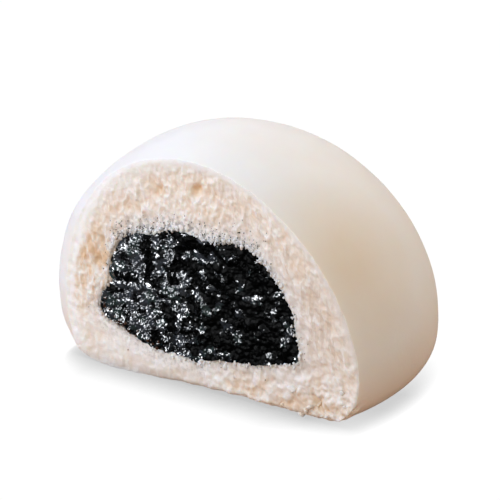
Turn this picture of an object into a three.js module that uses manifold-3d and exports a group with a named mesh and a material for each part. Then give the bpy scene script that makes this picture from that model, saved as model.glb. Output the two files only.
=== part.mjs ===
// Half of a steamed white bun with a thick filling of black sesame paste, standing on its flat base.
// Millimetres, +Z up. A knife took the front of the bun off, and the cut face looks towards -Y.
// The bun is built round its own middle, and the group then puts the origin at the bottom centre.

import * as THREE from 'three';
import { mergeVertices } from 'three/addons/utils/BufferGeometryUtils.js';
import Module from 'manifold-3d';

// The whole bun, before it was cut. Its outline is a superellipse below the widest height and another above.
const bun = {
  radius: 37,          // half the width across, at the widest height
  depthStretch: 1.14,  // the plan is longer from front to back by this factor
  height: 48.3,
  widestHeight: 11.8,
  baseRadius: 22,      // flat spot that the bun was steamed on
  flankPower: 3.14,
  domePower: 1.85,
  topLean: -3.9,       // how far the top sits off the base's middle, along X
};

// The knife went in front of the bun's middle, so more than half of the bun is left.
const cutOffset = 14.1;

// The soft skin is drawn in over the edge of the cut, mostly on the left.
const rim = {
  depth: 4,            // how far behind the cut the skin begins to turn in
  pullAll: 0.3,        // inward pull all round
  pullSide: 4.2,       // further pull towards the side named by sideAngle
  sideAngle: THREE.MathUtils.degToRad(200),
  middleHeight: 20,    // the pull is towards this height on the cut face
  footHeight: 5.2,     // below this height the pull fades out, so the base stays flat
};

// The lump of paste, by its outline on the cut face: a tapered superellipse with small bumps and dents.
const paste = {
  middleX: -1.3,
  middleZ: 19.1,
  halfWidth: 20.8,
  halfHeight: 12.5,
  topPower: 3.8,
  bottomPower: 2.45,
  taper: 0.17,         // narrower at the top and wider at the bottom by this share
  tilt: 2,             // rise from the middle to the right end
  skew: -2.9,          // shift of the top along X
  halfDepth: 29,       // from the bun's middle to the back of the lump
  depthPower: 2.3,
  bumps: [
    { angle: THREE.MathUtils.degToRad(-20), height: 1.7, spread: 0.1 },
    { angle: THREE.MathUtils.degToRad(-4), height: -0.9, spread: 0.15 },
    { angle: THREE.MathUtils.degToRad(28), height: -1.1, spread: 0.3 },
    { angle: THREE.MathUtils.degToRad(76), height: -1.6, spread: 0.4 },
    { angle: THREE.MathUtils.degToRad(136), height: -1.5, spread: 0.18 },
    { angle: THREE.MathUtils.degToRad(164), height: -0.8, spread: 0.18 },
    { angle: THREE.MathUtils.degToRad(184), height: -0.9, spread: 0.08 },
    { angle: THREE.MathUtils.degToRad(198), height: 2.5, spread: 0.16 },
    { angle: THREE.MathUtils.degToRad(232), height: 0.5, spread: 0.15 },
    { angle: THREE.MathUtils.degToRad(268), height: 0.8, spread: 0.12 },
    { angle: THREE.MathUtils.degToRad(300), height: -0.7, spread: 0.4 },
  ],
};

const gap = 0.3;       // clearance between the dough and the paste
const skim = 0.02;     // what the last pass of the cut takes off the face

const segments = {
  aroundBun: 116,
  sideCrowding: 0.5,   // share by which the columns stand closer at the sides, where the rim turns in
  upFlank: 8,
  upDome: 17,
  aroundPaste: 64,
  alongPaste: 26,
};

const wasm = await Module();
wasm.setup();

// A closed three.js geometry as a solid that can be cut.
function toSolid(geometry) {
  const bare = geometry.clone();
  bare.deleteAttribute('normal');
  bare.deleteAttribute('uv');
  const merged = mergeVertices(bare, 1e-4);
  return new wasm.Manifold(new wasm.Mesh({
    numProp: 3,
    vertProperties: new Float32Array(merged.attributes.position.array),
    triVerts: new Uint32Array(merged.index.array),
  }));
}

function toGeometry(solid) {
  const mesh = solid.getMesh();
  const geometry = new THREE.BufferGeometry();
  geometry.setAttribute('position', new THREE.BufferAttribute(mesh.vertProperties, 3));
  geometry.setIndex(new THREE.BufferAttribute(mesh.triVerts, 1));
  geometry.computeVertexNormals();
  return geometry;
}

// Moves every vertex of a geometry by a function that changes a Vector3.
function reshape(geometry, change) {
  const position = geometry.attributes.position;
  const point = new THREE.Vector3();
  for (let i = 0; i < position.count; i += 1) {
    point.fromBufferAttribute(position, i);
    change(point);
    position.setXYZ(i, point.x, point.y, point.z);
  }
  return geometry;
}

function signedPower(value, power) {
  return Math.sign(value) * Math.abs(value) ** power;
}

// The bun's outline from the middle of its base, round the flank and up to the top.
function bunProfile() {
  const points = [new THREE.Vector2(0, 0)];
  const flank = 2 / bun.flankPower;
  for (let i = 0; i <= segments.upFlank; i += 1) {
    const t = (Math.PI / 2) * (i / segments.upFlank);
    points.push(new THREE.Vector2(
      bun.baseRadius + (bun.radius - bun.baseRadius) * Math.sin(t) ** flank,
      bun.widestHeight * (1 - Math.cos(t) ** flank),
    ));
  }
  const dome = 2 / bun.domePower;
  for (let i = 1; i < segments.upDome; i += 1) {
    const t = (Math.PI / 2) * (i / segments.upDome);
    points.push(new THREE.Vector2(
      bun.radius * Math.cos(t) ** dome,
      bun.widestHeight + (bun.height - bun.widestHeight) * Math.sin(t) ** dome,
    ));
  }
  points.push(new THREE.Vector2(0, bun.height));
  return points;
}

// The whole bun, oval in plan, with its top off to one side and the cut plane at Y = 0.
function wholeBun() {
  const geometry = new THREE.LatheGeometry(bunProfile(), segments.aroundBun);
  geometry.rotateX(Math.PI / 2);
  return reshape(geometry, (point) => {
    const reach = Math.hypot(point.x, point.y);
    const even = Math.atan2(point.x, point.y);
    const crowded = even + (segments.sideCrowding / 2) * Math.sin(2 * even);
    point.x = reach * Math.sin(crowded) + bun.topLean * (point.z / bun.height);
    point.y = reach * Math.cos(crowded) * bun.depthStretch + cutOffset;
  });
}

// Draws the skin just behind the cut in towards the middle of the cut face.
function turnInRim(geometry) {
  return reshape(geometry, (point) => {
    const nearness = Math.max(0, 1 - point.y / rim.depth) ** 2;
    const rise = point.z - rim.middleHeight;
    const angle = Math.atan2(rise, point.x);
    const side = Math.max(0, Math.cos(angle - rim.sideAngle)) ** 2;
    const foot = THREE.MathUtils.smoothstep(point.z, 0, rim.footHeight);
    const pull = (rim.pullAll + rim.pullSide * side) * foot * nearness;
    const keep = 1 - pull / Math.hypot(point.x, rise);
    point.x *= keep;
    point.z = rim.middleHeight + rise * keep;
  });
}

// The paste's outline on the cut face, as an offset from its middle.
function pasteOutline(angle) {
  const power = 2 / (Math.sin(angle) > 0 ? paste.topPower : paste.bottomPower);
  const across = signedPower(Math.cos(angle), power);
  const up = signedPower(Math.sin(angle), power);
  const outline = new THREE.Vector2(
    paste.halfWidth * across * (1 - paste.taper * up) + paste.skew * up,
    paste.halfHeight * up + paste.tilt * across,
  );
  const direction = Math.atan2(outline.y, outline.x);
  for (const bump of paste.bumps) {
    const away = THREE.MathUtils.euclideanModulo(direction - bump.angle + Math.PI, 2 * Math.PI) - Math.PI;
    outline.setLength(outline.length() + bump.height * Math.exp(-((away / bump.spread) ** 2)));
  }
  return outline;
}

// How wide the lump is at a depth along Y, compared with its widest place.
function pasteScale(along) {
  return (1 - Math.abs(along) ** paste.depthPower) ** (1 / paste.depthPower);
}

// The whole lump of paste, grown by a clearance. Its outline has its full size at the cut.
function pasteLump(clearance) {
  const atCut = pasteScale(cutOffset / paste.halfDepth);
  const geometry = new THREE.SphereGeometry(1, segments.aroundPaste, segments.alongPaste);
  return reshape(geometry, (point) => {
    const along = THREE.MathUtils.clamp(point.y, -1, 1);
    const outline = pasteOutline(Math.atan2(point.z, point.x));
    const scale = pasteScale(along) / atCut;
    const rounded = Math.sqrt(1 - along ** 2);
    outline.multiplyScalar(scale);
    outline.setLength(outline.length() + clearance * rounded);
    point.set(
      paste.middleX + outline.x,
      cutOffset + (paste.halfDepth + clearance) * along,
      paste.middleZ + outline.y,
    );
  });
}

// Takes off all that is in front of a plane across Y.
function cutAt(solid, y) {
  const size = 4 * bun.radius;
  const block = new THREE.BoxGeometry(size, size, size).translate(0, y - size / 2, 0);
  return solid.subtract(toSolid(block));
}

// The first cut gives the rim an edge to turn in, and the second leaves the face behind it flat.
function doughGeometry() {
  const rimmed = turnInRim(toGeometry(cutAt(toSolid(wholeBun()), 0)));
  return toGeometry(cutAt(toSolid(rimmed), skim).subtract(toSolid(pasteLump(gap))));
}

function pasteGeometry() {
  return toGeometry(cutAt(toSolid(pasteLump(0)), skim));
}

function namedMesh(name, geometry, look) {
  const mesh = new THREE.Mesh(geometry, new THREE.MeshStandardMaterial(look));
  mesh.name = name;
  return mesh;
}

const dough = namedMesh('dough', doughGeometry(), { color: '#efe8e0', roughness: 0.6, metalness: 0 });
const sesameFilling = namedMesh('sesame_filling', pasteGeometry(), {
  color: '#15171b',
  roughness: 0.3,
  metalness: 0,
});

const group = new THREE.Group();
group.add(dough, sesameFilling);

const middle = new THREE.Box3().setFromObject(group).getCenter(new THREE.Vector3());
group.position.set(-middle.x, -middle.y, 0);

export default group;
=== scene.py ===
# Half of a steamed white bun with a filling of black sesame paste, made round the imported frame.
# Metres, +Z up. The knife's cut looks towards -Y, and the bun rests on its flat base.

import math
import random

import bpy
import numpy as np
from mathutils import Euler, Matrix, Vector, noise
from mathutils.bvhtree import BVHTree


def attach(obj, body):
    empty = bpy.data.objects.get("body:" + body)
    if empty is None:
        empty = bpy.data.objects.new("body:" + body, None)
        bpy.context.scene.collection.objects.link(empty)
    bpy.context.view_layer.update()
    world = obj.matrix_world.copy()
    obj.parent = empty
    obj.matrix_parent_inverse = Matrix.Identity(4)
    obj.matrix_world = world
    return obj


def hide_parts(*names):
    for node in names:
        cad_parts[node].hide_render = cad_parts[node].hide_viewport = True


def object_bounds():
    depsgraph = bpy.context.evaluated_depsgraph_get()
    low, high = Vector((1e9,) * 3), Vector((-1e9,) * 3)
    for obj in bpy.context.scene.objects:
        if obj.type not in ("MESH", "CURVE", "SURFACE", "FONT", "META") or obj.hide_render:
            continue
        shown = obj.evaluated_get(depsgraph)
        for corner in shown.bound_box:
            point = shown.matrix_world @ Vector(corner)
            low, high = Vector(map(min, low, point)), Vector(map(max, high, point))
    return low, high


MM = 0.001

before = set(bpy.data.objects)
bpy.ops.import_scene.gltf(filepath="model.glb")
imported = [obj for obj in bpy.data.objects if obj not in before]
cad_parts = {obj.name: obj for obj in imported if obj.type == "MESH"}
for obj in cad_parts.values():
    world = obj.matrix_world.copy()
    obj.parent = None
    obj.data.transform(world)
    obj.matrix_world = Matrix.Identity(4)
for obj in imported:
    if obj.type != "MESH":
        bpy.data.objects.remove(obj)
cad_low, cad_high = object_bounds()

# The steamed bun, before it was cut
HALF_WIDTH = 37 * MM
BASE_RADIUS = 22 * MM
WIDEST_HEIGHT = 11.8 * MM
BUN_HEIGHT = cad_high.z
DEPTH_STRETCH = 1.14
FLANK_POWER = 3.14
DOME_POWER = 1.85
TOP_LEAN = -3.9 * MM
COLUMNS = 112
FLANK_RINGS = 12
DOME_RINGS = 24

# The cut, in front of the bun's middle
CUT_Y = cad_low.y
CUT_OFFSET = 14.1 * MM
MIDDLE = Vector((0.95 * MM, CUT_Y + CUT_OFFSET, 0))

# The skin that turns in over the edge of the cut
RIM_DEPTH = 4 * MM
RIM_PULL_ALL = 0.3 * MM
RIM_PULL_SIDE = 4.2 * MM
RIM_SIDE_ANGLE = math.radians(200)
RIM_MIDDLE_HEIGHT = 20 * MM
RIM_FOOT_HEIGHT = 5.2 * MM

# The dense rind just under the skin
RIND_THICKNESS = 1.0 * MM
RIND_WIDENING = 3.8 * MM
RIND_WIDE_ANGLE = math.radians(138)
RIND_FOOT_SHARE = 0.35
RIND_LOW = 5 * MM
RIND_HIGH = 17 * MM

# The rounded lip where the cut face meets the skin
LIP_WIDTH = 0.7 * MM
LIP_WIDENING = 0.7 * MM
LIP_DEPTH = 0.5 * MM
SOFT_EDGE_FULL = 0.3 * MM  # distance from the skin up to which the edge is smoothed fully
SOFT_EDGE_END = 1.3 * MM

# The foot of the cut, which rounds back under the bun but spreads a little at its left end.
# Each fades in between two places along X, the second of them where it is full.
FOOT_TURN_HEIGHT = 1.6 * MM
FOOT_TURN_DEPTH = 2.6 * MM
FOOT_TURN_FADE = (-16 * MM, 8 * MM)
FOOT_SPREAD = 0.8 * MM
FOOT_SPREAD_FADE = (-12 * MM, -20 * MM)

# Where the crumb is torn into clumps: at the foot of the cut, most of all at its right corner
CLUMP_TOP = 13 * MM
CLUMP_TOP_RISE = 5 * MM  # how much further up the clumps reach at the right end
CLUMP_FULL_HEIGHT = 4 * MM
CORNER_TOP = 9 * MM
CORNER_FULL_HEIGHT = 5 * MM
CORNER_FADE = (18 * MM, 29 * MM)  # two places along X, the second of them where it is full

# Larger air holes in the crumb, each with its X and Z at the cut, its radius and its depth
AIR_HOLES = (
    (-0.5 * MM, 40.7 * MM, 0.9 * MM, 1.1 * MM),
    (-9.4 * MM, 38.4 * MM, 1.0 * MM, 0.4 * MM),
    (-22.9 * MM, 25.2 * MM, 0.9 * MM, 0.7 * MM),
    (-23.8 * MM, 21.1 * MM, 1.1 * MM, 0.8 * MM),
    (26.3 * MM, 3.4 * MM, 1.2 * MM, 0.9 * MM),
)
DEEPEST_HOLE = 2 * MM  # what a full share of the air holes' vertex group stands for

# The lump of sesame paste, by its outline at the cut
PASTE_MIDDLE = Vector((MIDDLE.x - 1.3 * MM, MIDDLE.y, 19.1 * MM))
PASTE_HALF_WIDTH = 20.8 * MM
PASTE_HALF_HEIGHT = 12.5 * MM
PASTE_TOP_POWER = 3.8
PASTE_BOTTOM_POWER = 2.45
PASTE_TAPER = 0.17
PASTE_TILT = 2 * MM
PASTE_SKEW = -2.9 * MM
PASTE_HALF_DEPTH = 29 * MM
PASTE_DEPTH_POWER = 2.3

# Bumps and dents of that outline: the way towards each, its height and its spread in radians
PASTE_BUMPS = (
    (math.radians(-20), 1.7 * MM, 0.1),
    (math.radians(-4), -0.9 * MM, 0.15),
    (math.radians(28), -1.1 * MM, 0.3),
    (math.radians(76), -1.6 * MM, 0.4),
    (math.radians(136), -1.5 * MM, 0.18),
    (math.radians(164), -0.8 * MM, 0.18),
    (math.radians(184), -0.9 * MM, 0.08),
    (math.radians(198), 2.5 * MM, 0.16),
    (math.radians(232), 0.5 * MM, 0.15),
    (math.radians(268), 0.8 * MM, 0.12),
    (math.radians(300), -0.7 * MM, 0.4),
)

# The lump's mesh, and how far it reaches into the crumb that it sticks to
PASTE_COLUMNS = 260
PASTE_RINGS = 26
STICKING = 0.15 * MM

# How finely the two cut faces are meshed
CRUMB_SPACING = 0.2 * MM
PASTE_SPACING = 0.15 * MM

# Small loose things on the cut
GRAIN_COUNT = 900
SPECK_COUNT = 300
THREAD_COUNT = 400
CLOT_COUNT = 12


def smoothstep(value, low, high):
    """Rises smoothly from 0 at low to 1 at high."""
    share = min(max((value - low) / (high - low), 0), 1)
    return share * share * (3 - 2 * share)


def signed_power(value, power):
    return math.copysign(abs(value) ** power, value)


# Handling of pieces

def only(piece):
    """Leaves one object selected, and makes it the one that operators act on."""
    bpy.ops.object.select_all(action="DESELECT")
    piece.select_set(True)
    bpy.context.view_layer.objects.active = piece


def edit(piece, mode="FACE"):
    only(piece)
    bpy.ops.object.mode_set(mode="EDIT")
    bpy.ops.mesh.select_mode(type=mode)
    bpy.ops.mesh.select_all(action="SELECT")


def leave_edit():
    bpy.ops.object.mode_set(mode="OBJECT")


def settle(piece):
    """Puts the object at the origin, with its place in its mesh."""
    only(piece)
    bpy.ops.object.transform_apply(location=True, rotation=True, scale=True)


def apply_modifiers(piece):
    only(piece)
    for name in [modifier.name for modifier in piece.modifiers]:
        bpy.ops.object.modifier_apply(modifier=name)


def face_outwards(piece):
    edit(piece)
    bpy.ops.mesh.remove_doubles(threshold=0.001 * MM)
    bpy.ops.mesh.normals_make_consistent(inside=False)
    leave_edit()


def weigh(piece, name, weight_at):
    """Vertex group whose weight at each vertex is a function of its place."""
    group = piece.vertex_groups.new(name=name)
    for vertex in piece.data.vertices:
        group.add([vertex.index], weight_at(vertex.co), "REPLACE")


def cut_away(piece, cutter):
    """Takes the cutter's body off the piece. The new faces keep the cutter's material."""
    cut = piece.modifiers.new("cut", "BOOLEAN")
    cut.operation = "DIFFERENCE"
    cut.solver = "MANIFOLD"
    cut.material_mode = "TRANSFER"
    cut.object = cutter
    apply_modifiers(piece)
    bpy.data.objects.remove(cutter)


def surface_of(piece):
    """The piece's surface, to measure distances from."""
    bpy.context.view_layer.update()
    return BVHTree.FromObject(piece, bpy.context.evaluated_depsgraph_get())


# Relief

def texture_space(name, place, stretch):
    """An empty whose own units are millimetres, stretched along X, Y and Z."""
    bpy.ops.object.empty_add(location=place)
    space = bpy.context.object
    space.name = name
    space.scale = Vector(stretch) * MM
    return space


def cells(name, size):
    """Round cells of a size in millimetres: 0 at each cell's middle, rising like a bowl to its wall."""
    texture = bpy.data.textures.new(name, "VORONOI")
    texture.noise_scale = size
    texture.distance_metric = "DISTANCE_SQUARED"
    return texture


def clouds(name, size, depth=1, coloured=False):
    texture = bpy.data.textures.new(name, "CLOUDS")
    texture.noise_scale = size
    texture.noise_depth = depth
    texture.cloud_type = "COLOR" if coloured else "GRAYSCALE"
    return texture


def relief(piece, texture, height, space, direction="Y", level=0.5, group=""):
    """Moves the surface by a texture, height metres for the texture's whole range."""
    layer = piece.modifiers.new(texture.name, "DISPLACE")
    layer.texture = texture
    layer.strength = height
    layer.mid_level = level
    layer.direction = direction
    layer.texture_coords = "OBJECT"
    layer.texture_coords_object = space
    layer.vertex_group = group


def bend_back(piece, group, depth):
    """Moves the surface back along Y by its share in a vertex group."""
    layer = piece.modifiers.new(group, "DISPLACE")
    layer.strength = depth
    layer.mid_level = 0
    layer.direction = "Y"
    layer.vertex_group = group


# The bun's own form

def bun_rings():
    """Radius and height of each ring of the bun, from just above its base to just under its top."""
    flank = 2 / FLANK_POWER
    dome = 2 / DOME_POWER
    rings = []
    for step in range(1, FLANK_RINGS + 1):
        turn = math.pi / 2 * step / FLANK_RINGS
        radius = BASE_RADIUS + (HALF_WIDTH - BASE_RADIUS) * math.sin(turn) ** flank
        rings.append((radius, WIDEST_HEIGHT * (1 - math.cos(turn) ** flank)))
    for step in range(1, DOME_RINGS):
        turn = math.pi / 2 * step / DOME_RINGS
        rise = (BUN_HEIGHT - WIDEST_HEIGHT) * math.sin(turn) ** dome
        rings.append((HALF_WIDTH * math.cos(turn) ** dome, WIDEST_HEIGHT + rise))
    return rings


def steamed_bun():
    """The whole bun: a disc drawn up ring by ring, leaning a little, then made oval."""
    bpy.ops.object.select_all(action="DESELECT")
    bpy.ops.mesh.primitive_circle_add(
        vertices=COLUMNS, radius=BASE_RADIUS, fill_type="NGON", location=MIDDLE)
    bun = bpy.context.object
    bun.name = "bun_dough"
    settle(bun)
    edit(bun)
    radius, height = BASE_RADIUS, 0
    for next_radius, next_height in bun_rings():
        rise = next_height - height
        lean = TOP_LEAN * rise / BUN_HEIGHT
        bpy.ops.mesh.extrude_region_move(TRANSFORM_OT_translate={"value": (lean, 0, rise)})
        grow = next_radius / radius
        centre = MIDDLE + Vector((TOP_LEAN * next_height / BUN_HEIGHT, 0, next_height))
        bpy.ops.transform.resize(value=(grow, grow, 1), center_override=centre)
        radius, height = next_radius, next_height
    bpy.ops.mesh.select_all(action="SELECT")
    bpy.ops.transform.resize(value=(1, DEPTH_STRETCH, 1), center_override=MIDDLE)
    leave_edit()
    face_outwards(bun)
    finer = bun.modifiers.new("finer", "SUBSURF")
    finer.levels = finer.render_levels = 1
    apply_modifiers(bun)
    return bun


def knead(bun):
    """Faint hollows and swellings of the soft skin, none of them on the base."""
    weigh(bun, "soft", lambda place: smoothstep(place.z, 0.5 * MM, 9 * MM))
    space = texture_space("skin space", MIDDLE, (1, 1, 1))
    relief(bun, clouds("swelling", 16), 0.5 * MM, space, "NORMAL", group="soft")
    apply_modifiers(bun)
    bpy.data.objects.remove(space)


def side_share(x, rise):
    """1 towards the side where the skin turns in most, 0 on the far side."""
    angle = math.atan2(rise, x)
    return max(0, math.cos(angle - RIM_SIDE_ANGLE)) ** 2


def refine_by_cut(bun):
    """Meshes the skin by the cut more finely, where it turns in and meets the cut."""
    edit(bun)
    bpy.ops.mesh.select_all(action="DESELECT")
    leave_edit()
    for face in bun.data.polygons:
        face.select = abs(face.center.y - CUT_Y - 2.5 * MM) < 3.5 * MM and face.center.z > 0.2 * MM
    bpy.ops.object.mode_set(mode="EDIT")
    bpy.ops.mesh.subdivide(number_cuts=2)
    leave_edit()


def turn_in_rim(bun):
    """Draws the skin by the cut in, towards a line through the middle of the cut face."""
    def share(place):
        nearness = min(max(0, 1 - (place.y - CUT_Y) / RIM_DEPTH), 1) ** 2
        x = place.x - MIDDLE.x
        rise = place.z - RIM_MIDDLE_HEIGHT
        pull = RIM_PULL_ALL + RIM_PULL_SIDE * side_share(x, rise)
        return min(1, pull * smoothstep(place.z, 0, RIM_FOOT_HEIGHT) * nearness / math.hypot(x, rise))
    weigh(bun, "rim", share)
    line = texture_space("rim line", (MIDDLE.x, CUT_Y, RIM_MIDDLE_HEIGHT), (1, 1, 1))
    line.scale = (1, 1, 1)
    line.rotation_euler = (math.pi / 2, 0, 0)
    draw = bun.modifiers.new("draw in", "CAST")
    draw.cast_type = "CYLINDER"
    draw.object = line
    draw.use_z = False
    draw.factor = 1
    draw.use_radius_as_size = False
    draw.size = 0.001 * MM
    draw.vertex_group = "rim"
    apply_modifiers(bun)
    bpy.data.objects.remove(line)


# The paste's form

def paste_outline(angle):
    """The paste's edge at the cut, as X and Z from its middle."""
    power = 2 / (PASTE_TOP_POWER if math.sin(angle) > 0 else PASTE_BOTTOM_POWER)
    across = signed_power(math.cos(angle), power)
    up = signed_power(math.sin(angle), power)
    edge = Vector((
        PASTE_HALF_WIDTH * across * (1 - PASTE_TAPER * up) + PASTE_SKEW * up,
        PASTE_HALF_HEIGHT * up + PASTE_TILT * across,
    ))
    direction = math.atan2(edge.y, edge.x)
    for bump, height, spread in PASTE_BUMPS:
        away = (direction - bump + math.pi) % (2 * math.pi) - math.pi
        edge.length += height * math.exp(-(away / spread) ** 2)
    return edge


def paste_scale(y):
    """How wide the lump is at a depth, compared with the cut."""
    def wide(offset):
        share = min(abs(offset) / PASTE_HALF_DEPTH, 1)
        return (1 - share ** PASTE_DEPTH_POWER) ** (1 / PASTE_DEPTH_POWER)
    return wide(y - MIDDLE.y) / wide(CUT_Y - MIDDLE.y)


def filling_lump(name, grow):
    """The lump from a little in front of the cut to its back end: an outline drawn back ring by ring."""
    front = CUT_Y - 3 * MM
    back = MIDDLE.y + PASTE_HALF_DEPTH
    bpy.ops.object.select_all(action="DESELECT")
    bpy.ops.mesh.primitive_circle_add(vertices=PASTE_COLUMNS, radius=1, fill_type="NGON")
    lump = bpy.context.object
    lump.name = name
    for vertex in lump.data.vertices:
        edge = paste_outline(math.atan2(vertex.co.y, vertex.co.x))
        edge.length += grow
        edge *= paste_scale(front)
        vertex.co = PASTE_MIDDLE + Vector((edge.x, front - PASTE_MIDDLE.y, edge.y))
    edit(lump)
    y = front
    for step in range(1, PASTE_RINGS):
        turn = math.pi / 2 * step / PASTE_RINGS
        next_y = front + (back - front) * math.sin(turn)
        bpy.ops.mesh.extrude_region_move(TRANSFORM_OT_translate={"value": (0, next_y - y, 0)})
        shrink = paste_scale(next_y) / paste_scale(y)
        centre = (PASTE_MIDDLE.x, next_y, PASTE_MIDDLE.z)
        bpy.ops.transform.resize(value=(shrink, 1, shrink), center_override=centre)
        y = next_y
    leave_edit()
    face_outwards(lump)
    return lump


# The two cut faces

def knife(name, low, high, spacing, back):
    """A fine upright sheet that stands where the knife went, to be given relief before it cuts."""
    width = high[0] - low[0]
    height = high[1] - low[1]
    bpy.ops.object.select_all(action="DESELECT")
    bpy.ops.mesh.primitive_grid_add(
        x_subdivisions=round(width / spacing), y_subdivisions=round(height / spacing), size=1)
    sheet = bpy.context.object
    sheet.name = name
    edit(sheet)
    bpy.ops.transform.resize(value=(width, height, 1), center_override=(0, 0, 0))
    bpy.ops.transform.rotate(value=math.pi / 2, orient_axis="X", center_override=(0, 0, 0))
    bpy.ops.transform.translate(value=(low[0] + width / 2, CUT_Y + back, low[1] + height / 2))
    leave_edit()
    return sheet


def thicken_knife(sheet):
    """Draws the sheet's edge forward and closes it, so that it takes off all that is in front."""
    edit(sheet, "EDGE")
    bpy.ops.mesh.select_all(action="DESELECT")
    bpy.ops.mesh.select_non_manifold()
    bpy.ops.mesh.extrude_region_move(TRANSFORM_OT_translate={"value": (0, -3 * HALF_WIDTH, 0)})
    bpy.ops.mesh.edge_face_add()
    bpy.ops.mesh.select_all(action="SELECT")
    bpy.ops.mesh.normals_make_consistent(inside=False)
    leave_edit()


def rind_depth(place, skin):
    """Distance from the skin, in metres. The flat base is no skin, so it counts as deep inside."""
    _, normal, _, distance = skin.find_nearest(place)
    return distance + 4 * MM * smoothstep(-normal.z, 0.3, 0.9)


def crumb_share(place, skin):
    """0 in the smooth rind and 1 in open crumb. The rind is widest at the upper left."""
    x = place.x - MIDDLE.x
    angle = math.atan2(place.z - RIM_MIDDLE_HEIGHT, x)
    wide = max(0, math.cos(angle - RIND_WIDE_ANGLE)) ** 4
    full = smoothstep(place.z, RIND_LOW, RIND_HIGH)
    thickness = RIND_THICKNESS + RIND_WIDENING * wide
    thickness *= RIND_FOOT_SHARE + (1 - RIND_FOOT_SHARE) * full
    return smoothstep(rind_depth(place, skin), 0.15 * MM, thickness)


def lip_share(place, skin):
    """1 at the skin and 0 further in: how far the cut face rounds back to meet the skin."""
    left = side_share(place.x - MIDDLE.x, place.z - RIM_MIDDLE_HEIGHT)
    reach = LIP_WIDTH + LIP_WIDENING * left
    share = max(0, 1 - rind_depth(place, skin) / reach) ** 2
    return share * reach / (LIP_WIDTH + LIP_WIDENING)


def air_hole_depth(place):
    """How deep the larger air holes are at a place on the cut."""
    deepest = 0
    for x, z, radius, depth in AIR_HOLES:
        away = math.hypot(place.x - x, (place.z - z) / 1.4) / radius
        deepest = max(deepest, depth * math.exp(-away * away))
    return deepest


def round_lip(dough, skin):
    """Smooths the edge between the skin and the cut face, all but the edge of the flat base."""
    def share(place):
        inwards = 1 - smoothstep(rind_depth(place, skin), SOFT_EDGE_FULL, SOFT_EDGE_END)
        backwards = 1 - smoothstep(place.y - CUT_Y, LIP_DEPTH + 1 * MM, LIP_DEPTH + 3 * MM)
        softer = 0.3 + 0.7 * side_share(place.x - MIDDLE.x, place.z - RIM_MIDDLE_HEIGHT)
        return inwards * backwards * softer * smoothstep(place.z, 0.3 * MM, 2 * MM)
    weigh(dough, "edge", share)
    soft = dough.modifiers.new("soft edge", "SMOOTH")
    soft.factor = 0.5
    soft.iterations = 30
    soft.vertex_group = "edge"
    apply_modifiers(dough)


def tear_corner(dough):
    """Swells the right foot corner of the cut into torn lumps."""
    def share(place):
        low = smoothstep(place.z, CORNER_TOP, CORNER_FULL_HEIGHT)
        above_base = smoothstep(place.z, 0.2 * MM, 1.5 * MM)
        by_cut = smoothstep(place.y - CUT_Y, 3 * MM, 1 * MM)
        return low * above_base * smoothstep(place.x, *CORNER_FADE) * by_cut
    weigh(dough, "corner", share)
    space = texture_space("corner space", (MIDDLE.x, CUT_Y, 0), (1, 1, 1))
    lumps = clouds("torn corner", 1.6, 1)
    relief(dough, lumps, 1.3 * MM, space, "NORMAL", level=0.45, group="corner")
    apply_modifiers(dough)
    bpy.data.objects.remove(space)


def streaked_share(place):
    """1 in the band on the right, where the crumb is drawn out along the skin, and 0 elsewhere."""
    return smoothstep(place.x - MIDDLE.x + 0.6 * (place.z - 30 * MM), 9 * MM, 17 * MM)


def foot_share(place):
    """1 at the foot of the cut on the right, where the crumb is torn into clumps, and less on the left."""
    top = CLUMP_TOP + CLUMP_TOP_RISE * smoothstep(place.x, 14 * MM, 26 * MM)
    right = smoothstep(place.x, -8 * MM, 14 * MM)
    return smoothstep(place.z, top, CLUMP_FULL_HEIGHT) * (0.35 + 0.65 * right)


def foot_edge(place):
    """Quarter of an oval: 1 at the flat base and 0 from the foot's height up."""
    above = min(max(place.z / FOOT_TURN_HEIGHT, 0), 1)
    return 1 - math.sqrt(1 - (1 - above) ** 2)


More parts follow.
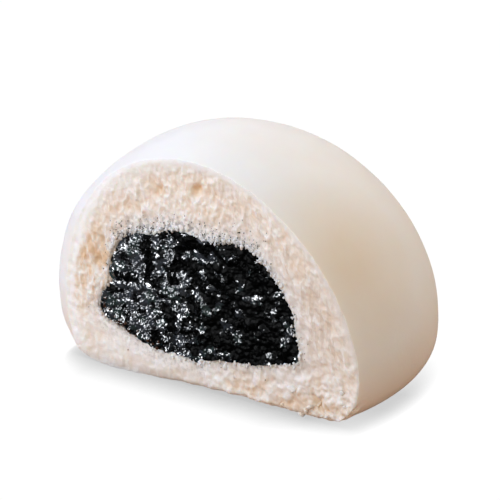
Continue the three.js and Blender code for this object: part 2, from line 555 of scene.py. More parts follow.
def crumb_knife(skin, crumb_look):
    """The cut through the crumb: bubbles of two sizes, cut open, with thin walls between them."""
    sheet = knife("crumb knife", (-39 * MM, -2 * MM), (39 * MM, 50 * MM), CRUMB_SPACING, 0.1 * MM)
    sheet.data.materials.append(crumb_look)

    def open_share(place):
        left = smoothstep(place.x, 12 * MM, -8 * MM)
        calm = 1 - (0.3 + 0.3 * left) * smoothstep(place.z, 12 * MM, 5 * MM)
        return calm * (0.25 + 0.75 * crumb_share(place, skin))
    weigh(sheet, "crumb", open_share)
    weigh(sheet, "upright", lambda place: open_share(place) * (1 - streaked_share(place)))
    weigh(sheet, "streaked", lambda place: open_share(place) * streaked_share(place))
    weigh(sheet, "foot", foot_share)
    weigh(sheet, "lip", lambda place: lip_share(place, skin))
    weigh(sheet, "foot turn", lambda place: foot_edge(place) * smoothstep(place.x, *FOOT_TURN_FADE))
    weigh(sheet, "foot spread", lambda place: foot_edge(place) * smoothstep(place.x, *FOOT_SPREAD_FADE))
    weigh(sheet, "air holes", lambda place: air_hole_depth(place) / DEEPEST_HOLE)
    upright = texture_space("upright bubbles", (MIDDLE.x, CUT_Y, 0), (1, 1, 2))
    streaked = texture_space("streaked bubbles", (MIDDLE.x, CUT_Y, 0), (1, 1, 2.8))
    streaked.rotation_euler = (0, math.radians(-30), 0)
    broad = texture_space("swellings", (MIDDLE.x, CUT_Y, 0), (1, 1, 1))
    for space, group in ((upright, "upright"), (streaked, "streaked")):
        relief(sheet, cells("large bubbles", 0.9), -0.48 * MM, space, level=0.55, group=group)
        relief(sheet, cells("small bubbles", 0.5), -0.26 * MM, space, level=0.55, group=group)
    relief(sheet, clouds("torn crumb", 2.4, 2), 0.65 * MM, broad, level=0.5, group="crumb")
    relief(sheet, clouds("clumps", 2.2, 1), 1.35 * MM, broad, level=0.5, group="foot")
    relief(sheet, clouds("grit", 0.45, 1, True), 0.1 * MM, broad, "RGB_TO_XYZ", group="crumb")
    relief(sheet, clouds("uneven lip", 1.5, 1), 0.9 * MM, broad, level=0.5, group="lip")
    bend_back(sheet, "lip", LIP_DEPTH)
    bend_back(sheet, "foot turn", FOOT_TURN_DEPTH)
    bend_back(sheet, "foot spread", -FOOT_SPREAD)
    bend_back(sheet, "air holes", DEEPEST_HOLE)
    apply_modifiers(sheet)
    for space in (upright, streaked, broad):
        bpy.data.objects.remove(space)
    thicken_knife(sheet)
    return sheet


def paste_knife(paste_look):
    """The cut through the paste: rounded grains of ground sesame, in larger clods."""
    sheet = knife("paste knife", (-27 * MM, 3 * MM), (25 * MM, 36 * MM), PASTE_SPACING, 0.1 * MM)
    sheet.data.materials.append(paste_look)
    space = texture_space("grain space", (PASTE_MIDDLE.x, CUT_Y, PASTE_MIDDLE.z), (1, 1, 1))
    relief(sheet, cells("coarse grains", 1.3), 0.8 * MM, space, level=0.5)
    relief(sheet, cells("fine grains", 0.65), 0.35 * MM, space, level=0.5)
    relief(sheet, clouds("clods", 4, 2), 2.4 * MM, space, level=0.5)
    relief(sheet, clouds("tumble", 0.5, 1, True), 0.18 * MM, space, "RGB_TO_XYZ")
    apply_modifiers(sheet)
    bpy.data.objects.remove(space)
    thicken_knife(sheet)
    return sheet


def roughen_edge(lump, size, height):
    """Gives the lump's sides an uneven outline."""
    space = texture_space("edge space", PASTE_MIDDLE, (1, 1, 1))
    relief(lump, clouds(lump.name + " edge", size, 2), height, space, "NORMAL")
    apply_modifiers(lump)
    bpy.data.objects.remove(space)


# Looks

def feed(tree, socket, value):
    """Sets an input to a value, or links it to another node's output."""
    if isinstance(value, bpy.types.NodeSocket):
        tree.links.new(value, socket)
    else:
        socket.default_value = value


def node(tree, kind, links=None, **settings):
    """Adds a node. links gives its inputs, each as a value or as another node's output."""
    made = tree.nodes.new(kind)
    for name, value in settings.items():
        setattr(made, name, value)
    for socket, value in (links or {}).items():
        feed(tree, made.inputs[socket], value)
    return made


def times(tree, first, second):
    """The product of two shares."""
    return node(tree, "ShaderNodeMath", {0: first, 1: second}, operation="MULTIPLY").outputs[0]


def axes(tree, place):
    """A place's X, Y and Z."""
    return node(tree, "ShaderNodeSeparateXYZ", {0: place}).outputs


def distance(tree, place, middle):
    return node(tree, "ShaderNodeVectorMath", {0: place, 1: middle}, operation="DISTANCE").outputs["Value"]


def measured_along(tree, place, way):
    """How far a place lies along a direction."""
    return node(tree, "ShaderNodeVectorMath", {0: place, 1: way}, operation="DOT_PRODUCT").outputs["Value"]


def span(tree, value, low, high, to_low=0, to_high=1):
    """Maps a value's range to another, held at both ends."""
    return node(tree, "ShaderNodeMapRange", {
        "Value": value, "From Min": low, "From Max": high, "To Min": to_low, "To Max": to_high,
    }).outputs["Result"]


def blend(tree, share, first, second, kind="MIX"):
    """Mixes two colours by a share from 0 to 1, or tints the first by the second where kind is MULTIPLY."""
    mix = node(tree, "ShaderNodeMix", data_type="RGBA", blend_type=kind)
    for socket, value in ((0, share), (6, first), (7, second)):
        feed(tree, mix.inputs[socket], value)
    return mix.outputs[2]


def rgb(red, green, blue):
    return (red, green, blue, 1)


def effect(name, inputs, outputs):
    """An empty shader node group with float or vector inputs and float outputs."""
    tree = bpy.data.node_groups.new(name, "ShaderNodeTree")
    for label, kind in inputs:
        tree.interface.new_socket(label, in_out="INPUT", socket_type=kind)
    for label in outputs:
        tree.interface.new_socket(label, in_out="OUTPUT", socket_type="NodeSocketFloat")
    return tree, tree.nodes.new("NodeGroupInput"), tree.nodes.new("NodeGroupOutput")


def mottle_effect():
    """Soft uneven patches: a share from 0 to 1 over the surface."""
    tree, given, result = effect(
        "mottle",
        (
            ("Place", "NodeSocketVector"),
            ("Patches per metre", "NodeSocketFloat"),
            ("Contrast", "NodeSocketFloat"),
        ),
        ("Share",))
    patches = node(tree, "ShaderNodeTexNoise", {
        "Vector": given.outputs["Place"], "Scale": given.outputs["Patches per metre"],
        "Detail": 3.0, "Roughness": 0.55,
    })
    away = node(tree, "ShaderNodeMath", {0: patches.outputs["Fac"], 1: 0.5}, operation="SUBTRACT")
    grown = node(tree, "ShaderNodeMath", {
        0: away.outputs[0], 1: given.outputs["Contrast"], 2: 0.5,
    }, operation="MULTIPLY_ADD", use_clamp=True)
    tree.links.new(grown.outputs[0], result.inputs["Share"])
    return tree


def pore_effect():
    """Fine round pits and grit, as a height from 0 to 1."""
    tree, given, result = effect(
        "pores",
        (
            ("Place", "NodeSocketVector"),
            ("Pores per metre", "NodeSocketFloat"),
            ("Grit", "NodeSocketFloat"),
        ),
        ("Height",))
    pits = node(tree, "ShaderNodeTexVoronoi", {
        "Vector": given.outputs["Place"], "Scale": given.outputs["Pores per metre"],
    }, feature="SMOOTH_F1")
    grit = node(tree, "ShaderNodeTexNoise", {
        "Vector": given.outputs["Place"], "Scale": given.outputs["Pores per metre"], "Detail": 4.0,
    })
    height = node(tree, "ShaderNodeMath", {
        0: grit.outputs["Fac"], 1: given.outputs["Grit"], 2: pits.outputs["Distance"],
    }, operation="MULTIPLY_ADD")
    tree.links.new(height.outputs[0], result.inputs["Height"])
    return tree


mottle_group = mottle_effect()
pore_group = pore_effect()


def mottle(tree, place, patch_size, contrast):
    return node(tree, "ShaderNodeGroup", {
        "Place": place, "Patches per metre": 1 / patch_size, "Contrast": contrast,
    }, node_tree=mottle_group).outputs["Share"]


def pores(tree, place, pore_size, grit):
    return node(tree, "ShaderNodeGroup", {
        "Place": place, "Pores per metre": 1 / pore_size, "Grit": grit,
    }, node_tree=pore_group).outputs["Height"]


def bump(tree, height, depth):
    return node(tree, "ShaderNodeBump", {
        "Height": height, "Distance": depth, "Strength": 1.0,
    }).outputs["Normal"]


def finish_of(name):
    """A new material, with its node tree, its main shader and its Object coordinates."""
    look = bpy.data.materials.new(name)
    look.use_nodes = True
    tree = look.node_tree
    shader = tree.nodes["Principled BSDF"]
    place = node(tree, "ShaderNodeTexCoord").outputs["Object"]
    return look, tree, shader, place


def connect(tree, shader, links):
    for socket, output in links.items():
        tree.links.new(output, shader.inputs[socket])


def attribute(tree, name):
    return node(tree, "ShaderNodeAttribute", attribute_name=name).outputs["Fac"]


SKIN_PALE = rgb(0.94, 0.932, 0.92)
SKIN_WARM = rgb(0.925, 0.90, 0.87)
# Colour towards the base of the skin: partly its own creamier tint, partly painted shade.
SKIN_FOOT_TINT_AND_SHADE = rgb(0.895, 0.785, 0.69)
# A darker, warmer tint for a patch of painted shade on the right side of the skin.
SKIN_SIDE_SHADE = rgb(0.95, 0.845, 0.72)
# Rind lighter on the left and darker on the right: painted light and shade.
RIND_LIT_LEFT = rgb(0.93, 0.93, 0.935)
RIND_SHADED_RIGHT = rgb(0.80, 0.775, 0.765)
# Painted shade, multiplied into the crumb towards the lower right and by the floor on the left.
CRUMB_SHADED = rgb(0.90, 0.865, 0.84)
CRUMB_PALE = rgb(0.92, 0.915, 0.915)
CRUMB_CREAM = rgb(0.88, 0.85, 0.845)
CRUMB_WHITE = rgb(0.92, 0.905, 0.92)
CRUMB_SMEARED = rgb(0.12, 0.115, 0.12)
# Beige for random patches, and for painted shade in the hollows of the crumb.
CRUMB_BEIGE_AND_HOLLOW_SHADE = rgb(0.84, 0.72, 0.61)
CRUMB_BEIGE = rgb(0.72, 0.63, 0.56)
# Painted shade right above the floor at the left foot of the cut.
FOOT_LINE_SHADE = rgb(0.68, 0.64, 0.62)
CRUMB_ORANGE = rgb(0.78, 0.56, 0.37)
# Greyer painted shade in the hollows by the filling.
HOLLOW_SHADE_GREY = rgb(0.66, 0.62, 0.61)
CRUMB_DARK_BY_FILLING = rgb(0.30, 0.23, 0.18)
PASTE_BLACK = rgb(0.0005, 0.0005, 0.0006)
# Bluish and greenish grey: painted sheen on the wet paste.
PASTE_BLUE_SHEEN = rgb(0.040, 0.048, 0.062)
PASTE_GREEN_SHEEN = rgb(0.020, 0.047, 0.040)
PASTE_BROWN = rgb(0.055, 0.024, 0.014)
SIDE_SHADE_PLACE = Vector((28, -21, 31)) * MM  # middle of a patch of painted shade on the right side of the skin
STAIN_PLACE = Vector((-24 * MM, CUT_Y, 21 * MM))  # middle of an oily patch in the crumb


def steamed_skin():
    """Satin white skin, a little creamier in patches. Towards the base it is creamier and darker, partly its
    own tint and partly painted shade, and a darker, warmer patch on its right side is painted shade.
    """
    look, tree, shader, place = finish_of("steamed skin")
    tone = blend(tree, mottle(tree, place, 14 * MM, 3.0), SKIN_PALE, SKIN_WARM)
    # Creamier and darker towards the base: partly the skin's own tint, partly painted shade.
    tone = blend(tree, span(tree, axes(tree, place)["Z"], 15 * MM, 1 * MM), tone, SKIN_FOOT_TINT_AND_SHADE)
    # Painted shade: a darker, warmer patch on the right side of the skin.
    away = distance(tree, place, SIDE_SHADE_PLACE)
    tone = blend(tree, span(tree, away, 20 * MM, 3 * MM), tone, SKIN_SIDE_SHADE, "MULTIPLY")
    rough = span(tree, mottle(tree, place, 3 * MM, 2.0), 0, 1, 0.42, 0.58)
    connect(tree, shader, {
        "Base Color": tone,
        "Roughness": rough,
        "Normal": bump(tree, pores(tree, place, 0.7 * MM, 0.8), 0.02 * MM),
    })
    shader.inputs["Specular IOR Level"].default_value = 0.3
    shader.inputs["Sheen Weight"].default_value = 0.2
    shader.inputs["Sheen Roughness"].default_value = 0.4
    soften(shader)
    return look


def soften(shader):
    """Light goes a little way into steamed dough."""
    shader.inputs["Subsurface Weight"].default_value = 0.35
    shader.inputs["Subsurface Radius"].default_value = (1, 0.62, 0.42)
    shader.inputs["Subsurface Scale"].default_value = 1.6 * MM


def smear(tree, place):
    """Share of sesame dust in the crumb by the filling, most of it above the filling and to the left."""
    side = axes(tree, place)
    above = span(tree, side["Z"], PASTE_MIDDLE.z + 4 * MM, PASTE_MIDDLE.z + 11 * MM, 0.4, 1)
    to_left = span(tree, side["X"], 12 * MM, 3 * MM, 0.2, 1)
    near = span(tree, attribute(tree, "to_filling"), 4.2, 0.2)
    specks = span(tree, mottle(tree, place, 0.8 * MM, 8.0), 0.45, 1.0, 0, 0.72)
    return times(tree, times(tree, above, to_left), times(tree, near, specks))


def darker_by_filling(tree, place):
    """Share of dark brown in the crumb right by the filling, on its left."""
    near = span(tree, attribute(tree, "to_filling"), 1.4, 0.0, 0, 0.75)
    return times(tree, near, span(tree, axes(tree, place)["X"], -13 * MM, -18 * MM))


def stain(tree, place):
    """Share of the oily beige patch in the crumb to the left of the filling, in upright streaks."""
    near = span(tree, distance(tree, place, STAIN_PLACE), 14 * MM, 3 * MM, 0, 0.95)
    upright = node(tree, "ShaderNodeMapping", {"Vector": place, "Scale": (1, 1, 0.4)}).outputs[0]
    return times(tree, near, mottle(tree, upright, 1.5 * MM, 6.0))


def streaks(tree, place):
    """Share of beige streaks along the skin in the band on the right, where the crumb is drawn out."""
    across = measured_along(tree, place, (1, 0, 0.6))
    along = node(tree, "ShaderNodeMapping", {
        "Vector": place, "Rotation": (0, math.radians(28), 0), "Scale": (1, 1, 0.22),
    }).outputs[0]
    above_foot = span(tree, axes(tree, place)["Z"], 10 * MM, 15 * MM)
    band = times(tree, span(tree, across, 24 * MM, 31 * MM, 0, 0.75), above_foot)
    band = times(tree, band, span(tree, attribute(tree, "to_filling"), 1.5, 3.5))
    return times(tree, band, span(tree, mottle(tree, along, 1.1 * MM, 9.0), 0.4, 1.0))


def foot_patches(tree, place):
    """Share of beige patches in the torn crumb at the foot of the cut, on the right, laid out at random."""
    side = axes(tree, place)
    low = span(tree, side["Z"], 8 * MM, 3 * MM, 0, 0.58)
    low_right = times(tree, low, span(tree, side["X"], 2 * MM, 14 * MM))
    return times(tree, low_right, mottle(tree, place, 2.4 * MM, 8.0))


def painted_shade_towards_foot(tree, place):
    """Share of painted shade that grows towards the lower right of the cut, making the crumb darker and
    warmer.
    """
    side = axes(tree, place)
    return times(tree, span(tree, side["X"], -12 * MM, 26 * MM), span(tree, side["Z"], 42 * MM, 26 * MM))


def open_crumb():
    """Spongy crumb: pale walls, and painted shade in the hollows, beige to orange and greyer by the filling,
    under a smooth pale rind, painted lighter on the left and darker on the right. Towards the lower right and
    along the foot it is darkened with painted shade.
    """
    look, tree, shader, place = finish_of("open crumb")
    side = axes(tree, place)
    upright = node(tree, "ShaderNodeMapping", {"Vector": place, "Scale": (1, 1, 0.65)}).outputs[0]
    wall = blend(tree, mottle(tree, upright, 1.6 * MM, 4.0), CRUMB_PALE, CRUMB_CREAM)
    beside = span(tree, attribute(tree, "to_filling"), 5.0, 1.0)
    wall = blend(tree, beside, wall, CRUMB_WHITE)
    # Painted shade in the hollows of the crumb, beige to orange, greyer by the filling, deeper behind the
    # cut.
    low = blend(tree, mottle(tree, place, 5 * MM, 6.0), CRUMB_BEIGE_AND_HOLLOW_SHADE, CRUMB_ORANGE)
    low = blend(tree, beside, low, HOLLOW_SHADE_GREY)
    hollow_shade = span(tree, side["Y"], CUT_Y + 0.05 * MM, CUT_Y + 0.8 * MM)
    hollow_shade = times(tree, hollow_shade, span(tree, side["Z"], 0.8 * MM, 2.4 * MM))
    hollow_shade = times(tree, hollow_shade, span(tree, attribute(tree, "lip_share"), 0.3, 0.02))
    tone = blend(tree, hollow_shade, wall, low)
    toasty = times(
        tree,
        span(tree, mottle(tree, upright, 4.5 * MM, 5.0), 0.45, 1.0, 0, 0.55),
        span(tree, attribute(tree, "to_filling"), 2.0, 6.0))
    toasty = times(tree, toasty, span(tree, side["Z"], 8 * MM, 14 * MM, 0.4, 1))
    tone = blend(tree, toasty, tone, CRUMB_BEIGE_AND_HOLLOW_SHADE)
    tone = blend(tree, streaks(tree, place), tone, CRUMB_BEIGE)
    tone = blend(tree, foot_patches(tree, place), tone, CRUMB_ORANGE)
    paler = span(tree, attribute(tree, "to_skin"), 3.5, 0.8, 0, 0.45)
    tone = blend(tree, paler, tone, CRUMB_PALE)
    tone = blend(tree, stain(tree, place), tone, CRUMB_ORANGE)
    tone = blend(tree, smear(tree, place), tone, CRUMB_SMEARED)
    tone = blend(tree, darker_by_filling(tree, place), tone, CRUMB_DARK_BY_FILLING)
    # The rind is painted lighter on the left, where the light falls, and darker on the right: painted light
    # and shade.
    rind = blend(tree, span(tree, side["X"], -22 * MM, 0), RIND_LIT_LEFT, RIND_SHADED_RIGHT)
    tone = blend(tree, attribute(tree, "crumb_share"), rind, tone)
    # Painted shade: darker and warmer towards the lower right of the cut.
    tone = blend(tree, painted_shade_towards_foot(tree, place), tone, CRUMB_SHADED, "MULTIPLY")
    # Painted shade on the crumb just above the floor, at the left.
    painted_shade_low_left = times(tree, span(tree, side["X"], 6 * MM, -8 * MM), span(tree, side["Z"], 5 * MM, 0.5 * MM))
    tone = blend(tree, painted_shade_low_left, tone, CRUMB_SHADED, "MULTIPLY")
    # Painted shade along the last millimetres above the floor, at the left.
    foot_line_shade = times(tree, span(tree, side["X"], 4 * MM, -8 * MM), span(tree, side["Z"], 1.8 * MM, 0.1 * MM))
    tone = blend(tree, foot_line_shade, tone, FOOT_LINE_SHADE, "MULTIPLY")
    connect(tree, shader, {
        "Base Color": tone,
        "Roughness": span(tree, mottle(tree, place, 1 * MM, 2.0), 0, 1, 0.6, 0.85),
        "Normal": bump(tree, pores(tree, place, 0.3 * MM, 1.2), 0.04 * MM),
    })
    shader.inputs["Specular IOR Level"].default_value = 0.2
    soften(shader)
    return look


def sesame_paste():
    """Wet, oily, nearly black paste with a few brown grains. Its bluish and greenish grey places are painted
    sheen, more of it on the left, and its hollows are painted shade, black.
    """
    look, tree, shader, place = finish_of("black sesame paste")
    side = axes(tree, place)
    # More painted sheen on the left, where the light falls, and less on the right.
    to_left = span(tree, side["X"], PASTE_MIDDLE.x + 10 * MM, PASTE_MIDDLE.x - 14 * MM, -0.36, 0.2)
    patches = node(tree, "ShaderNodeMath", {0: mottle(tree, place, 2.6 * MM, 4.0), 1: to_left}).outputs[0]
    # Deeper places stay black: painted shade in the hollows of the paste.
    raised = span(tree, side["Y"], CUT_Y + 0.9 * MM, CUT_Y + 0.3 * MM)
    wet_and_sheen = times(tree, span(tree, patches, 0.4, 0.9), raised)
    # The bluish grey of the raised wet places is a painted sheen.
    tone = blend(tree, wet_and_sheen, PASTE_BLACK, PASTE_BLUE_SHEEN)
    greenish = times(tree, span(tree, mottle(tree, place, 3 * MM, 7.0), 0.8, 1.0, 0, 0.6), wet_and_sheen)
    tone = blend(tree, greenish, tone, PASTE_GREEN_SHEEN)
    tone = blend(tree, span(tree, attribute(tree, "tone"), 0.94, 0.97), tone, PASTE_BROWN)
    connect(tree, shader, {
        "Base Color": tone,
        "Roughness": span(tree, wet_and_sheen, 0, 1, 0.5, 0.25),
        "Coat Weight": span(tree, wet_and_sheen, 0.02, 0.2),
        "Normal": bump(tree, pores(tree, place, 0.45 * MM, 0.8), 0.03 * MM),
    })
    shader.inputs["Specular IOR Level"].default_value = 0.02
    shader.inputs["Coat Roughness"].default_value = 0.06
    return look


# Small loose things

def small_shape(name, fineness, squash, dents, seed):
    """One small lump, as arrays: a ball squashed and dented, about 1 across."""
    bpy.ops.object.select_all(action="DESELECT")
    bpy.ops.mesh.primitive_ico_sphere_add(subdivisions=fineness, radius=0.5)
    lump = bpy.context.object
    lump.name = name
    edit(lump)
    bpy.ops.transform.resize(value=squash, center_override=(0, 0, 0))
    leave_edit()
    space = texture_space(name + " space", (seed * 3.1, seed * 1.7, 0), (1, 1, 1))
    space.scale = (1, 1, 1)
    relief(lump, clouds(name + " dents", 0.5, 1), dents, space, "NORMAL")
    apply_modifiers(lump)
    corners = np.array([vertex.co[:] for vertex in lump.data.vertices])
    faces = np.array([face.vertices[:] for face in lump.data.polygons])
    bpy.data.objects.remove(space)
    bpy.data.objects.remove(lump)
    return corners, faces


def strewn(name, shapes, places, look):
    """One mesh of many small shapes. places holds each one's place, size, turn and tone."""
    corners = []
    faces = []
    tones = []
    count = 0
    for index, (place, size, turn, tone) in enumerate(places):
        shape_corners, shape_faces = shapes[index % len(shapes)]
        turned = shape_corners @ np.array(turn.to_matrix()).T
        corners.append(turned * size + np.array(place))
        faces.append(shape_faces + count)
        tones.append(np.full(len(shape_corners), tone))
        count += len(shape_corners)
    mesh = bpy.data.meshes.new(name)
    mesh.from_pydata(np.concatenate(corners).tolist(), [], np.concatenate(faces).tolist())
    mesh.attributes.new("tone", "FLOAT", "POINT").data.foreach_set("value", np.concatenate(tones))
    mesh.materials.append(look)
    piece = bpy.data.objects.new(name, mesh)
    bpy.context.collection.objects.link(piece)
    return piece


def any_turn(draw):
    return Euler([draw.uniform(0, 2 * math.pi) for _ in range(3)])


def beside_edge(angle, beyond):
    """A place on the cut, a distance beyond the paste's edge, or inside it where the distance is negative."""
    edge = paste_outline(angle)
    edge.length += beyond
    return PASTE_MIDDLE + Vector((edge.x, CUT_Y - PASTE_MIDDLE.y, edge.y))


def lay_on(surface, place):
    """The point of a cut face that lies straight behind a place, or None beside the face."""
    start = place + Vector((0, -6 * MM, 0))
    return surface.ray_cast(start, Vector((0, 1, 0)), 12 * MM)[0]


def scatter_grains(paste, look):
    """Loose flakes of ground sesame on the cut face of the paste, fewer where it is smeared."""
    draw = random.Random(11)
    surface = surface_of(paste)
    shapes = [
        small_shape(f"grain {number}", 1, (1, draw.uniform(0.6, 0.9), draw.uniform(0.45, 0.7)), 0.4, number)
        for number in range(8)
    ]
    places = []
    while len(places) < GRAIN_COUNT:
        angle = draw.uniform(0, 2 * math.pi)
        edge = paste_outline(angle) * math.sqrt(draw.random())
        place = lay_on(surface, PASTE_MIDDLE + Vector((edge.x, CUT_Y - PASTE_MIDDLE.y, edge.y)))
        smear = noise.noise(Vector((edge.x, 0, edge.y)) / (3.5 * MM) + Vector((7, 0, 3)))
        bare = 0.25 + 0.5 * edge.x / PASTE_HALF_WIDTH
        if place is None or smear + bare > 0.35 * draw.random():
            continue
        at_edge = edge.length / paste_outline(angle).length > 0.9
        brown = at_edge and edge.y < -4 * MM and edge.x < -9 * MM and draw.random() < 0.6
        places.append((place, draw.uniform(0.4, 1.0) * MM, any_turn(draw), 1 if brown else 0))
    return strewn("loose_sesame_grains", shapes, places, look)


def scatter_specks(dough, look):
    """Specks of sesame that the knife dragged into the crumb, most of them above the filling."""
    draw = random.Random(5)
    surface = surface_of(dough)
    shapes = [small_shape(f"speck {number}", 1, (1, 0.7, 0.6), 0.3, 20 + number) for number in range(4)]
    places = []
    while len(places) < SPECK_COUNT:
        angle = draw.uniform(0.25, 0.8) * math.pi if draw.random() < 0.85 else draw.uniform(0, 2 * math.pi)
        place = lay_on(surface, beside_edge(angle, abs(draw.gauss(0, 2.0)) * MM))
        if place is not None:
            places.append((place, draw.uniform(0.12, 0.42) * MM, any_turn(draw), 0))
    return strewn("sesame_specks", shapes, places, look)


def scatter_crumbs(dough, paste, look):
    """Torn threads and clots of crumb: round the edge of the filling, and along the foot of the cut."""
    draw = random.Random(23)
    dough_surface = surface_of(dough)
    paste_surface = surface_of(paste)
    threads = [
        small_shape(f"crumb {number}", 2, (draw.uniform(0.4, 0.9), 0.6, 1.2), 0.8, 40 + number)
        for number in range(8)
    ]
    places = []
    while len(places) < THREAD_COUNT:
        angle = draw.uniform(0, 2 * math.pi)
        if math.sin(angle) < 0 and draw.random() < 0.55:
            continue
        start = beside_edge(angle, draw.gauss(0.5, 0.3) * MM)
        place = lay_on(dough_surface, start) or lay_on(paste_surface, start)
        if place is not None:
            turn = Euler((draw.uniform(-0.5, 0.5), draw.uniform(-0.6, 0.6), draw.uniform(0, 6)))
            places.append((place, draw.uniform(0.3, 0.95) * MM, turn, draw.random()))
    while len(places) < THREAD_COUNT + CLOT_COUNT:
        start = Vector((draw.uniform(5, 33) * MM, CUT_Y, abs(draw.gauss(0, 4)) * MM))
        place = lay_on(dough_surface, start)
        if place is not None and place.y < CUT_Y + 1.5 * MM:
            places.append((place, draw.uniform(0.7, 1.6) * MM, any_turn(draw), draw.random()))
    return strewn("loose_crumbs", threads, places, look)


# Putting the bun together

def measure_rind(piece, skin, filling):
    """Writes each point's shares of crumb and lip, and its distances from filling and skin in millimetres."""
    corners = [corner.co for corner in piece.data.vertices]
    measures = {
        "crumb_share": [crumb_share(place, skin) for place in corners],
        "to_filling": [filling.find_nearest(place)[3] / MM for place in corners],
        "to_skin": [rind_depth(place, skin) / MM for place in corners],
        "lip_share": [lip_share(place, skin) for place in corners],
    }
    for name, values in measures.items():
        piece.data.attributes.new(name, "FLOAT", "POINT").data.foreach_set("value", values)


def smooth(piece, angle):
    only(piece)
    bpy.ops.object.shade_smooth_by_angle(angle=math.radians(angle))


skin_look = steamed_skin()
crumb_look = open_crumb()
paste_look = sesame_paste()

dough = steamed_bun()
knead(dough)
refine_by_cut(dough)
turn_in_rim(dough)
dough.data.materials.append(skin_look)
skin_surface = surface_of(dough)

cavity = filling_lump("cavity", 0)
roughen_edge(cavity, 1.3, 1.1 * MM)
cavity.data.materials.append(crumb_look)
filling_surface = surface_of(cavity)
cut_away(dough, cavity)
cut_away(dough, crumb_knife(skin_surface, crumb_look))
round_lip(dough, skin_surface)
tear_corner(dough)
measure_rind(dough, skin_surface, filling_surface)
smooth(dough, 60)

paste = filling_lump("sesame_paste_lump", STICKING)
roughen_edge(paste, 1.0, 0.8 * MM)
paste.data.materials.append(paste_look)
cut_away(paste, paste_knife(paste_look))
smooth(paste, 80)

grains = scatter_grains(paste, paste_look)
smooth(grains, 180)
specks = scatter_specks(dough, paste_look)
crumbs = scatter_crumbs(dough, paste, crumb_look)
measure_rind(crumbs, skin_surface, filling_surface)
smooth(crumbs, 180)

for piece in (dough, paste, grains, specks, crumbs):
    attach(piece, "root")
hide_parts("dough")
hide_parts("sesame_filling")


# Floor, light and camera

CONTACT_REACH = 9 * MM
CONTACT_SHADOW_GREY = rgb(0.55, 0.55, 0.55)
SHADOW_SIDE = (0.335, -0.974, 0)
FLOOR_SEEN = rgb(1.02, 1.02, 1.02)
FLOOR_BOUNCE = rgb(0.53, 0.345, 0.25)
DARK_REFLECTION = rgb(0.02, 0.02, 0.024)

# Soft windows in the room: the way towards each, and its colour
WINDOWS = {
    "front": ((0, -0.94, 0.34), (1.66, 1.63, 1.29)),
    "left": ((-0.81, -0.47, 0.34), (0.64, 0.81, 1.08)),
    "upper left": ((-0.55, -0.32, 0.77), (0.60, 0.66, 1.03)),
    "back": ((0, 0.94, 0.34), (2.66, 2.35, 1.95)),
}

# Boxes that show only as glints: the way towards each, its size in metres and its power
GLINT_BOXES = {
    "box left": ((-0.7, -0.9, 0.5), 0.5, 50),
    "box upper left": ((-0.5, -0.6, 0.9), 0.45, 45),
    "box right": ((0.5, -0.9, 0.9), 0.4, 32),
    "box low": ((-0.1, -1.0, 0.1), 0.35, 22),
}
GLINT_DISTANCE = 1.5
GLINT_COLOUR = (0.93, 0.96, 1.0)

CAMERA_AZIMUTH = math.radians(33.07)
CAMERA_ELEVATION = math.radians(21.95)
CAMERA_DISTANCE = 500 * MM
CAMERA_LENS = 194.9
CAMERA_TARGET = Vector((11.43, -28.15, 31.33)) * MM


def pale_floor():
    """A plain white table top, just under the bun. It throws back a little warm light. To the camera it glows
    evenly white, with a painted contact shadow near the bun.
    """
    bpy.ops.object.select_all(action="DESELECT")
    bpy.ops.mesh.primitive_plane_add(size=8, location=(0, 0, -0.02 * MM))
    floor = bpy.context.object
    floor.name = "floor"
    look, tree, shader, place = finish_of("white table")
    rays = node(tree, "ShaderNodeLightPath").outputs
    tone = blend(tree, rays["Is Glossy Ray"], FLOOR_BOUNCE, DARK_REFLECTION)
    tone = blend(tree, rays["Is Camera Ray"], tone, rgb(0, 0, 0))
    across = axes(tree, place)["X"]
    reach = times(
        tree,
        span(tree, across, 18 * MM, 32 * MM, CONTACT_REACH, 0.45 * CONTACT_REACH),
        span(tree, across, -24 * MM, -34 * MM, 1, 0.15))
    nearby = node(tree, "ShaderNodeAmbientOcclusion", {"Distance": reach}, samples=6)
    before = measured_along(tree, place, SHADOW_SIDE)
    darkest = span(tree, across, 24 * MM, 31 * MM, 0.45, 0.38)
    # Painted contact shadow on the floor, greyer where the bun is near.
    shadow = span(tree, nearby.outputs["AO"], darkest, 1.0, 1, 0)
    shadow = times(tree, shadow, span(tree, before, 0, 20 * MM))
    shadow = times(tree, shadow, span(tree, across, 20 * MM, 32 * MM, 1, 0.85))
    by_corner = times(tree, span(tree, before, 28 * MM, 36 * MM), span(tree, across, 24 * MM, 31 * MM))
    shadow = times(tree, shadow, span(tree, by_corner, 0, 1, 1, 0.75))
    white = blend(tree, shadow, FLOOR_SEEN, CONTACT_SHADOW_GREY)
    seen = blend(tree, rays["Is Camera Ray"], rgb(0, 0, 0), white)
    connect(tree, shader, {"Base Color": tone, "Emission Color": seen})
    shader.inputs["Emission Strength"].default_value = 1
    shader.inputs["Roughness"].default_value = 0.9
    shader.inputs["Specular IOR Level"].default_value = 0
    floor.data.materials.append(look)


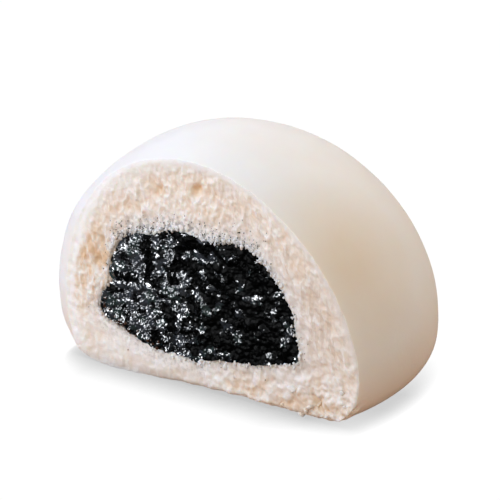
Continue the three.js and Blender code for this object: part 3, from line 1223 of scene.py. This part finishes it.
def glint_light(name, towards, size, power):
    """A small bright box that shows only as glints on what is glossy."""
    bpy.ops.object.light_add(type="AREA", location=Vector(towards).normalized() * GLINT_DISTANCE)
    lamp = bpy.context.object
    lamp.name = name
    lamp.data.size = size
    lamp.data.energy = power
    lamp.data.color = GLINT_COLOUR
    lamp.rotation_euler = Vector(towards).to_track_quat("Z", "Y").to_euler()
    lamp.visible_diffuse = False


def window_glow(tree, place, towards, colour):
    """The soft light of one window, strongest straight towards it."""
    facing = measured_along(tree, place, towards)
    above = node(tree, "ShaderNodeMath", {0: facing, 1: 0.0}, operation="MAXIMUM").outputs[0]
    share = node(tree, "ShaderNodeMath", {0: above, 1: 3.0}, operation="POWER").outputs[0]
    return node(tree, "ShaderNodeVectorMath", {0: colour, "Scale": share}, operation="SCALE").outputs[0]


def studio():
    """A room lit by soft windows. Glossy things see it dark, apart from a few boxes that make glints."""
    world = bpy.data.worlds.new("studio")
    bpy.context.scene.world = world
    world.use_nodes = True
    tree = world.node_tree
    rays = node(tree, "ShaderNodeLightPath").outputs
    place = node(tree, "ShaderNodeTexCoord").outputs["Generated"]
    tone = (0, 0, 0)
    for towards, colour in WINDOWS.values():
        glow = window_glow(tree, place, towards, colour)
        tone = node(tree, "ShaderNodeVectorMath", {0: tone, 1: glow}, operation="ADD").outputs[0]
    tone = blend(tree, rays["Is Glossy Ray"], tone, DARK_REFLECTION)
    tone = blend(tree, rays["Is Camera Ray"], tone, rgb(1, 1, 1))
    tree.links.new(tone, tree.nodes["Background"].inputs["Color"])
    for name, (towards, size, power) in GLINT_BOXES.items():
        glint_light(name, towards, size, power)
    bpy.context.scene.view_settings.view_transform = "Standard"


def camera():
    """Looks at the bun from the side, and from the height, that the photo was taken from."""
    back = Vector((
        math.sin(CAMERA_AZIMUTH) * math.cos(CAMERA_ELEVATION),
        -math.cos(CAMERA_AZIMUTH) * math.cos(CAMERA_ELEVATION),
        math.sin(CAMERA_ELEVATION),
    ))
    bpy.ops.object.camera_add(location=CAMERA_TARGET + back * CAMERA_DISTANCE)
    eye = bpy.context.object
    eye.rotation_euler = back.to_track_quat("Z", "Y").to_euler()
    eye.data.lens = CAMERA_LENS
    eye.data.sensor_width = 36
    eye.data.sensor_fit = "HORIZONTAL"
    eye.data.clip_start = 10 * MM
    eye.data.clip_end = 20
    bpy.context.scene.camera = eye


pale_floor()
studio()
camera()
